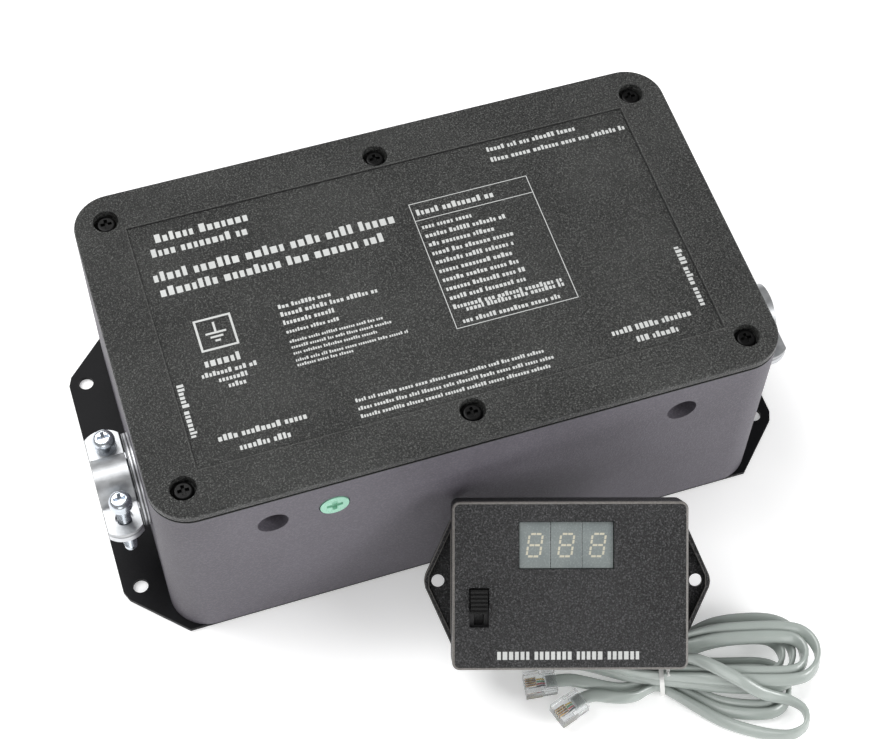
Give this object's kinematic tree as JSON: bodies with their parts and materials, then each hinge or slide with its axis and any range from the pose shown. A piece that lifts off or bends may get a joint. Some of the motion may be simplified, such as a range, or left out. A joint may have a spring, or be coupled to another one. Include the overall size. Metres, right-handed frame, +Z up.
{
  "type": "whole house surge protector",
  "caption": "Hardwired surge protector box on a flanged plate, with a cable clamp at each end, a loose remote display and a tied flat data cable.",
  "frame": {"origin": "centre of the mounting plate's underside, between its four bolt holes", "axes": "+X along the box towards the load end, +Y to the rear wall with the data socket, +Z up out of the mounting surface"},
  "size_m": [0.293, 0.2728, 0.097],
  "materials": {
    "lid_plastic": "leather-grained dark grey moulded plastic",
    "enclosure_plastic": "fine matt purple-grey moulded plastic",
    "plate_paint": "satin black powder coat",
    "black_screw": "black oxide",
    "zinc": "bright zinc plate",
    "cast_zinc": "die-cast zinc, dull",
    "ground_green": "green passivated steel",
    "tinned": "tinned copper bar",
    "board": "solder-masked glass laminate",
    "brass": "turned brass",
    "black_block": "moulded black thermoplastic",
    "coil": "enamelled copper winding",
    "bakelite": "moulded phenolic and steel",
    "contact": "copper alloy with silver faces",
    "toroid": "epoxy-coated core",
    "lamination": "stacked silicon steel",
    "bobbin_tape": "yellow film tape",
    "varistor": "blue and orange epoxy coating",
    "capacitor": "shrink sleeve",
    "chip": "moulded epoxy",
    "display_plastic": "fine-grained charcoal plastic",
    "led": "grey filter face with pale segments",
    "knob": "ribbed black plastic",
    "steel_screw": "plain steel",
    "cord_jacket": "silver-satin PVC jacket",
    "clear_plug": "clear polycarbonate",
    "gold": "gold plated",
    "tie": "white plastic-covered wire"
  },
  "bodies": {
    "root": {"mounting_plate": "plate_paint", "plate_screws": "steel_screw", "enclosure_base": "enclosure_plastic", "ground_screw_front": "ground_green", "ground_screw_rear": "ground_green", "ground_bar_front": "tinned", "ground_bar_rear": "tinned", "line_connector_body": "cast_zinc", "line_locknut": "cast_zinc", "load_connector_body": "cast_zinc", "load_locknut": "cast_zinc", "main_board": "board", "board_standoffs": "brass", "board_screws": "steel_screw", "line_terminal_block": "black_block", "line_terminal_screws": "steel_screw", "load_terminal_block": "black_block", "load_terminal_screws": "steel_screw", "contactor_base": "black_block", "contactor_coil": "coil", "contactor_contacts": "contact", "current_transformer": "toroid", "power_transformer_core": "lamination", "power_transformer_bobbin": "bobbin_tape", "surge_varistors": "varistor", "filter_capacitors": "capacitor", "control_chips": "chip", "data_jack": "black_block", "data_cable_hank": "cord_jacket", "data_cable_lead_a": "cord_jacket", "data_cable_lead_b": "cord_jacket", "plug_a_body": "clear_plug", "plug_a_contacts": "gold", "plug_b_body": "clear_plug", "plug_b_contacts": "gold", "cable_tie": "tie"},
    "lid": {"lid": "lid_plastic", "lid_screws": "black_screw"},
    "line_clamp": {"line_clamp_strap": "zinc", "line_clamp_screw_far": "zinc"},
    "line_near_screw": {"line_clamp_screw_near": "zinc"},
    "load_clamp": {"load_clamp_strap": "zinc", "load_clamp_screws": "zinc"},
    "armature": {"contactor_armature": "bakelite"},
    "display": {"display_front_shell": "display_plastic", "display_back_plate": "display_plastic", "led_module_left": "led", "led_module_middle": "led", "led_module_right": "led", "display_board": "board", "bypass_switch_body": "black_block", "display_jack": "black_block", "display_screws": "steel_screw"},
    "bypass_knob": {"bypass_switch_knob": "knob"},
    "latch_a": {"plug_a_latch": "clear_plug"},
    "latch_b": {"plug_b_latch": "clear_plug"}
  },
  "joints": [
    {"name": "lid_lift", "type": "slide", "parent": "root", "child": "lid", "axis": [0, 0, 1], "range_m": [0, 0.08]},
    {"name": "line_clamp_lift", "type": "slide", "parent": "root", "child": "line_clamp", "axis": [0, 0, 1], "range_m": [0, 0.007]},
    {"name": "line_screw_travel", "type": "slide", "parent": "root", "child": "line_near_screw", "axis": [0, 0, 1], "range_m": [-0.0104, 0.004]},
    {"name": "load_clamp_lift", "type": "slide", "parent": "root", "child": "load_clamp", "axis": [0, 0, 1], "range_m": [0, 0.007]},
    {"name": "contactor_pull_in", "type": "slide", "parent": "root", "child": "armature", "axis": [0, 0, 1], "range_m": [-0.002, 0], "stiffness_N_per_m": 600, "springref_m": 0.002},
    {"name": "display_lift", "type": "slide", "parent": "root", "child": "display", "axis": [0, 0, 1], "range_m": [0, 0.15]},
    {"name": "bypass_switch", "type": "slide", "parent": "display", "child": "bypass_knob", "axis": [-0.2494, -0.8007, -0.5446], "range_m": [0, 0.0052]},
    {"name": "latch_a_press", "type": "hinge", "parent": "root", "child": "latch_a", "pos_m": [-0.00088, -0.14477, 0.0025], "axis": [-0.1392, -0.9903, 0], "range_deg": [0, 6], "stiffness_Nm_per_rad": 0.02},
    {"name": "latch_b_press", "type": "hinge", "parent": "root", "child": "latch_b", "pos_m": [0.00721, -0.16083, 0.0024], "axis": [0.309, -0.9511, 0], "range_deg": [0, 6], "stiffness_Nm_per_rad": 0.02}
  ]
}
